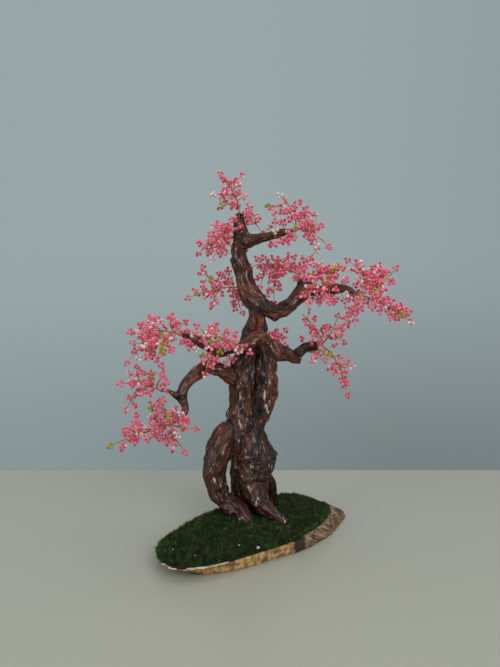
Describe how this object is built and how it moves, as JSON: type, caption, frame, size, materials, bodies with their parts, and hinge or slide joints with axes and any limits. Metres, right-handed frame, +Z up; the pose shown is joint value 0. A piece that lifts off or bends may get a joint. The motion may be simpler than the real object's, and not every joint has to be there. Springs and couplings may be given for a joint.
{
  "type": "beaded wire cherry blossom bonsai",
  "caption": "Ornamental bonsai: a gnarled sculpted trunk on an oval log slice with moss, its branches carrying sprays of twisted wire with blossoms made of small glass bead loops.",
  "frame": {"origin": "middle of the underside of the log slice, on the surface it stands on", "axes": "+Z up the tree, -Y towards its front, +X to the right as seen from the front"},
  "size_m": [0.2025, 0.1289, 0.2548],
  "materials": {
    "wood": "dry sawn slice with patchy bark and stripped orange-tan wood at the edge",
    "plaster": "matt white plaster",
    "moss": "dry dark green moss flock",
    "copper_wire": "copper craft wire, twisted in pairs, lightly darkened",
    "varnished_bark": "sculpted paste painted red-brown with near-black creases and pale flecks, glossy varnish",
    "blossom": "clear glass seed beads with a hot pink lining",
    "blossom_white": "cream pearl glass seed beads",
    "leaf_green": "olive and yellow-green glass seed beads"
  },
  "bodies": {
    "root": {"wood_slice": "wood", "plaster_bed": "plaster", "moss": "moss", "wire_core": "copper_wire", "trunk": "varnished_bark", "spray_crown_leader": "blossom", "spray_crown_right": "blossom", "spray_crown_left": "blossom", "spray_back_left": "blossom", "spray_upper_right": "blossom", "spray_back_right": "blossom", "spray_right_inner": "blossom", "spray_right_outer": "blossom", "spray_right_low": "blossom", "spray_back_small": "blossom", "spray_left_outer": "blossom", "spray_left_inner": "blossom", "spray_left_mid": "blossom", "spray_left_low": "blossom"}
  },
  "joints": []
}
